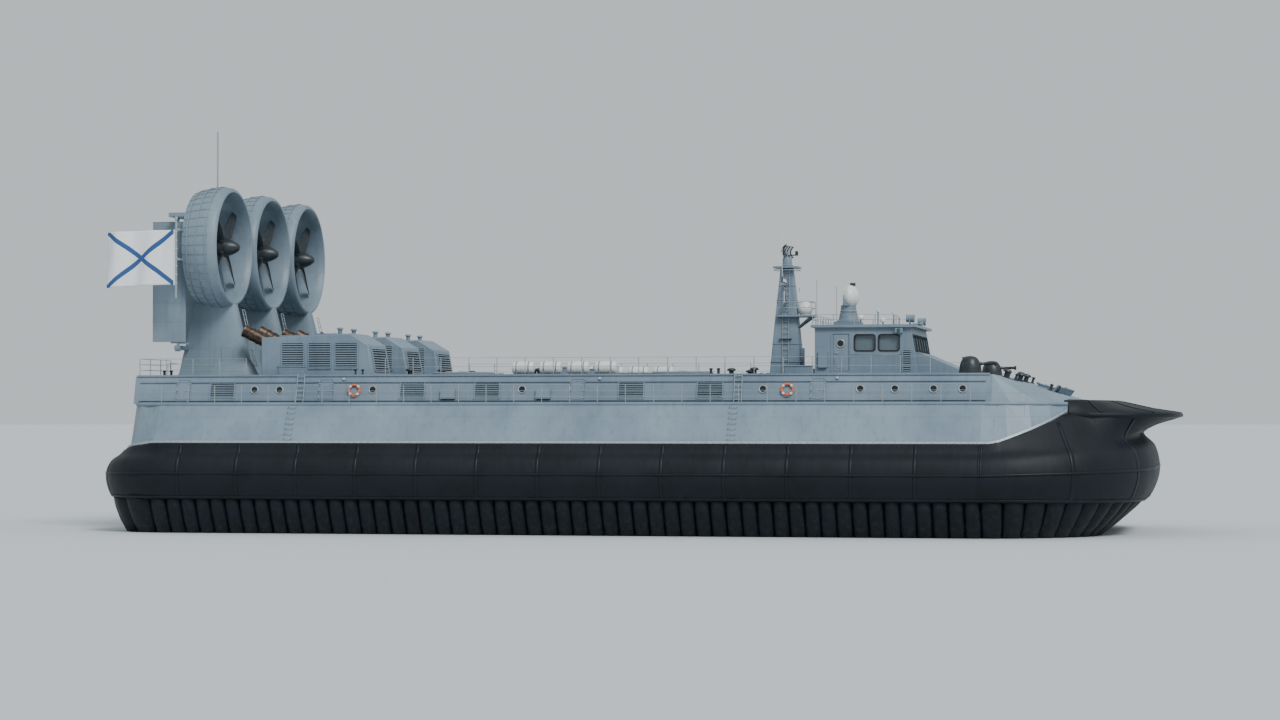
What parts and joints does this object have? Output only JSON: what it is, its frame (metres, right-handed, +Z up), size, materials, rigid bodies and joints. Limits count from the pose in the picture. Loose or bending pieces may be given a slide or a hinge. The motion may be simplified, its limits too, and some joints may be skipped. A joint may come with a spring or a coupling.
{
  "type": "landing hovercraft, scale model 1:2",
  "caption": "Landing hovercraft at half size: rubber skirt, covered vehicle hold with bow and stern ramps, wheelhouse, gun turrets, lift fans, and ducted propellers with air rudders.",
  "frame": {"origin": "centre of the footprint, level with the hem of the skirt that the craft rests on", "axes": "+X to port, +Y aft with the bow toward -Y, +Z up"},
  "size_m": [12.8, 28.65, 10.95],
  "materials": {
    "hull_paint": "semi-matt blue-grey ship's paint over welded light-alloy plate",
    "deck_paint": "matt darker grey non-slip deck paint",
    "skirt_rubber": "black rubber-coated fabric with a soft sheen, grey with dried salt low down",
    "weapon_grey": "dark grey paint, satin",
    "fan_metal": "dark painted alloy blades with bright leading edges",
    "window_glass": "tinted marine glass",
    "console_grey": "matt grey console covers and seat pads",
    "radome_white": "white gel coat, slightly weathered",
    "raft_canister": "white moulded life-raft canisters on grey cradles",
    "flag_cloth": "white woven bunting with a plain blue diagonal cross"
  },
  "bodies": {
    "craft": {"raft": "deck_paint", "foredeck": "hull_paint", "bow_apron": "skirt_rubber", "hold_roof": "deck_paint", "stern_frame": "hull_paint", "skirt_bow_centre": "skirt_rubber", "skirt_stern_centre": "skirt_rubber", "cushion_keels": "skirt_rubber", "hull_port": "hull_paint", "hull_starboard": "hull_paint", "deckhouse_port": "hull_paint", "deckhouse_starboard": "hull_paint", "skirt_bow_port": "skirt_rubber", "skirt_bow_starboard": "skirt_rubber", "skirt_port": "skirt_rubber", "skirt_starboard": "skirt_rubber", "raft_rack_port": "raft_canister", "raft_rack_starboard": "raft_canister", "wheelhouse_walls": "hull_paint", "wheelhouse_roof": "hull_paint", "wheelhouse_glass": "window_glass", "bridge_console": "console_grey", "mast": "hull_paint", "director_pedestal": "hull_paint", "intake_house_port": "hull_paint", "intake_house_centre": "hull_paint", "intake_house_starboard": "hull_paint", "pylon_port": "hull_paint", "pylon_centre": "hull_paint", "pylon_starboard": "hull_paint", "duct_port": "hull_paint", "duct_centre": "hull_paint", "duct_starboard": "hull_paint", "ensign_staff": "weapon_grey", "ensign": "flag_cloth"},
    "bow_ramp": {"bow_ramp": "deck_paint"},
    "bow_ramp_flap": {"bow_ramp_flap": "deck_paint"},
    "stern_ramp": {"stern_ramp": "deck_paint"},
    "bridge_door_port": {"bridge_door_port": "hull_paint"},
    "bridge_door_starboard": {"bridge_door_starboard": "hull_paint"},
    "turret_port": {"turret_port": "weapon_grey"},
    "turret_starboard": {"turret_starboard": "weapon_grey"},
    "gun_port": {"gun_port": "weapon_grey"},
    "gun_starboard": {"gun_starboard": "weapon_grey"},
    "radar_antenna": {"radar_antenna": "weapon_grey"},
    "director_head": {"director_head": "radome_white"},
    "lift_fan_port_fore": {"lift_fan_port_fore": "fan_metal"},
    "lift_fan_port_aft": {"lift_fan_port_aft": "fan_metal"},
    "lift_fan_starboard_fore": {"lift_fan_starboard_fore": "fan_metal"},
    "lift_fan_starboard_aft": {"lift_fan_starboard_aft": "fan_metal"},
    "propeller_port": {"propeller_port": "fan_metal"},
    "propeller_centre": {"propeller_centre": "fan_metal"},
    "propeller_starboard": {"propeller_starboard": "fan_metal"},
    "rudder_port_left": {"rudder_port_left": "hull_paint"},
    "rudder_port_right": {"rudder_port_right": "hull_paint"},
    "rudder_centre_left": {"rudder_centre_left": "hull_paint"},
    "rudder_centre_right": {"rudder_centre_right": "hull_paint"},
    "rudder_starboard_left": {"rudder_starboard_left": "hull_paint"},
    "rudder_starboard_right": {"rudder_starboard_right": "hull_paint"}
  },
  "joints": [
    {"name": "bow_ramp_hinge", "type": "hinge", "parent": "craft", "child": "bow_ramp", "pos_m": [0, -12.495, 1.7], "axis": [1, 0, 0], "range_deg": [0, 122], "deforming": ["skirt_bow_centre"]},
    {"name": "bow_flap_hinge", "type": "hinge", "parent": "bow_ramp", "child": "bow_ramp_flap", "pos_m": [0, -12.4025, 3.2], "axis": [1, 0, 0], "range_deg": [0, 180]},
    {"name": "stern_ramp_hinge", "type": "hinge", "parent": "craft", "child": "stern_ramp", "pos_m": [0, 13.645, 1.7], "axis": [-1, 0, 0], "range_deg": [0, 128], "deforming": ["skirt_stern_centre"]},
    {"name": "bridge_door_port_hinge", "type": "hinge", "parent": "craft", "child": "bridge_door_port", "pos_m": [2.085, -5.575, 4.82], "axis": [0, 0, -1], "range_deg": [0, 100]},
    {"name": "bridge_door_starboard_hinge", "type": "hinge", "parent": "craft", "child": "bridge_door_starboard", "pos_m": [-2.085, -5.575, 4.82], "axis": [0, 0, 1], "range_deg": [0, 100]},
    {"name": "turret_port_train", "type": "hinge", "parent": "craft", "child": "turret_port", "pos_m": [3.55, -8.975, 4.2003], "axis": [0, 0, 1], "range_deg": [-170, 170]},
    {"name": "turret_starboard_train", "type": "hinge", "parent": "craft", "child": "turret_starboard", "pos_m": [-3.55, -8.975, 4.2003], "axis": [0, 0, 1], "range_deg": [-170, 170]},
    {"name": "gun_port_elevate", "type": "hinge", "parent": "turret_port", "child": "gun_port", "pos_m": [3.55, -8.975, 4.4903], "axis": [-1, 0, 0], "range_deg": [-12, 88]},
    {"name": "gun_starboard_elevate", "type": "hinge", "parent": "turret_starboard", "child": "gun_starboard", "pos_m": [-3.55, -8.975, 4.4903], "axis": [-1, 0, 0], "range_deg": [-12, 88]},
    {"name": "radar_spin", "type": "hinge", "parent": "craft", "child": "radar_antenna", "pos_m": [0, -3.625, 7.2503], "axis": [0, 0, 1], "continuous": true},
    {"name": "director_train", "type": "hinge", "parent": "craft", "child": "director_head", "pos_m": [0, -5.325, 5.9753], "axis": [0, 0, 1], "range_deg": [-170, 170]},
    {"name": "lift_fan_port_fore_spin", "type": "hinge", "parent": "craft", "child": "lift_fan_port_fore", "pos_m": [3.55, -1.325, 3.875], "axis": [0, 0, 1], "continuous": true},
    {"name": "lift_fan_port_aft_spin", "type": "hinge", "parent": "craft", "child": "lift_fan_port_aft", "pos_m": [3.55, 4.675, 3.875], "axis": [0, 0, 1], "continuous": true},
    {"name": "lift_fan_starboard_fore_spin", "type": "hinge", "parent": "craft", "child": "lift_fan_starboard_fore", "pos_m": [-3.55, -1.325, 3.875], "axis": [0, 0, 1], "continuous": true},
    {"name": "lift_fan_starboard_aft_spin", "type": "hinge", "parent": "craft", "child": "lift_fan_starboard_aft", "pos_m": [-3.55, 4.675, 3.875], "axis": [0, 0, 1], "continuous": true},
    {"name": "propeller_port_spin", "type": "hinge", "parent": "craft", "child": "propeller_port", "pos_m": [3.45, 11.5, 7.75], "axis": [0, 1, 0], "continuous": true},
    {"name": "propeller_centre_spin", "type": "hinge", "parent": "craft", "child": "propeller_centre", "pos_m": [0, 11.5, 7.75], "axis": [0, 1, 0], "continuous": true},
    {"name": "propeller_starboard_spin", "type": "hinge", "parent": "craft", "child": "propeller_starboard", "pos_m": [-3.45, 11.5, 7.75], "axis": [0, 1, 0], "continuous": true},
    {"name": "steering", "type": "hinge", "parent": "craft", "child": "rudder_centre_left", "pos_m": [0.725, 12.55, 6.5], "axis": [0, 0, 1], "range_deg": [-30, 30]},
    {"name": "rudder_centre_right_post", "type": "hinge", "parent": "craft", "child": "rudder_centre_right", "pos_m": [-0.725, 12.55, 6.5], "axis": [0, 0, 1], "range_deg": [-30, 30]},
    {"name": "rudder_port_left_post", "type": "hinge", "parent": "craft", "child": "rudder_port_left", "pos_m": [4.175, 12.55, 6.5], "axis": [0, 0, 1], "range_deg": [-30, 30]},
    {"name": "rudder_port_right_post", "type": "hinge", "parent": "craft", "child": "rudder_port_right", "pos_m": [2.725, 12.55, 6.5], "axis": [0, 0, 1], "range_deg": [-30, 30]},
    {"name": "rudder_starboard_left_post", "type": "hinge", "parent": "craft", "child": "rudder_starboard_left", "pos_m": [-2.725, 12.55, 6.5], "axis": [0, 0, 1], "range_deg": [-30, 30]},
    {"name": "rudder_starboard_right_post", "type": "hinge", "parent": "craft", "child": "rudder_starboard_right", "pos_m": [-4.175, 12.55, 6.5], "axis": [0, 0, 1], "range_deg": [-30, 30]}
  ],
  "couplings": [
    {"joint": "bow_flap_hinge", "follows": "bow_ramp_hinge", "ratio": 1.475},
    {"joint": "rudder_centre_right_post", "follows": "steering", "ratio": 1},
    {"joint": "rudder_port_left_post", "follows": "steering", "ratio": 1},
    {"joint": "rudder_port_right_post", "follows": "steering", "ratio": 1},
    {"joint": "rudder_starboard_left_post", "follows": "steering", "ratio": 1},
    {"joint": "rudder_starboard_right_post", "follows": "steering", "ratio": 1}
  ]
}
